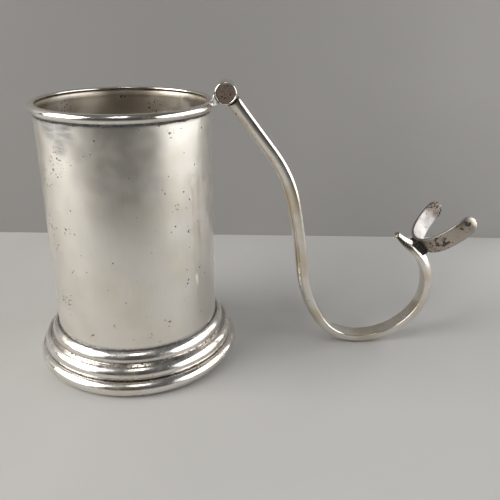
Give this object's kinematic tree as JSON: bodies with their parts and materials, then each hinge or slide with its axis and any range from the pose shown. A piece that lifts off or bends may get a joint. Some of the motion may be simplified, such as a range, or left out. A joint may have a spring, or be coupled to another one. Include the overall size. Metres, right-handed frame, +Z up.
{
  "type": "pewter tankard",
  "caption": "Straight-sided pint tankard with a moulded foot and a long S-shaped handle, hinged at the rim, that ends in a hook carrying a forked cradle.",
  "frame": {"origin": "centre of the foot ring's resting face, on the tankard's centre line", "axes": "+Z up the tankard's centre line, +X out from it through the handle's hinge, +Y along the hinge pin, away from a viewer who has the handle on the right"},
  "size_m": [0.2145, 0.1004, 0.1351],
  "materials": {
    "worn_plate": "polished plate with fine scratches, small dark pits and a warm bloom of tarnish",
    "bright_plate": "polished plate, bright on the crowns and dark with tarnish in the hollows",
    "tarnished_plate": "worn plate with brown tarnish and pits",
    "bare_copper_alloy": "brown oxidised bare metal",
    "pin_metal": "dull drawn wire",
    "dark_solder": "rough blackened solder"
  },
  "bodies": {
    "tankard": {"drum": "worn_plate", "floor_disc": "worn_plate", "rim_wire": "bright_plate", "base_moulding": "bright_plate", "foot_ring": "bright_plate", "hinge_bracket": "bright_plate", "rim_knuckle_front": "bright_plate", "rim_knuckle_rear": "bright_plate", "hinge_pin": "pin_metal", "pin_cap_front": "bare_copper_alloy", "pin_cap_rear": "bare_copper_alloy"},
    "handle": {"handle_knuckle": "bright_plate", "handle_bar": "bright_plate", "solder_pad": "dark_solder", "cradle": "tarnished_plate"}
  },
  "joints": [
    {"name": "handle_swing", "type": "hinge", "parent": "tankard", "child": "handle", "pos_m": [0.046, 0, 0.1302], "axis": [0, -1, 0], "range_deg": [-19, 228]}
  ]
}
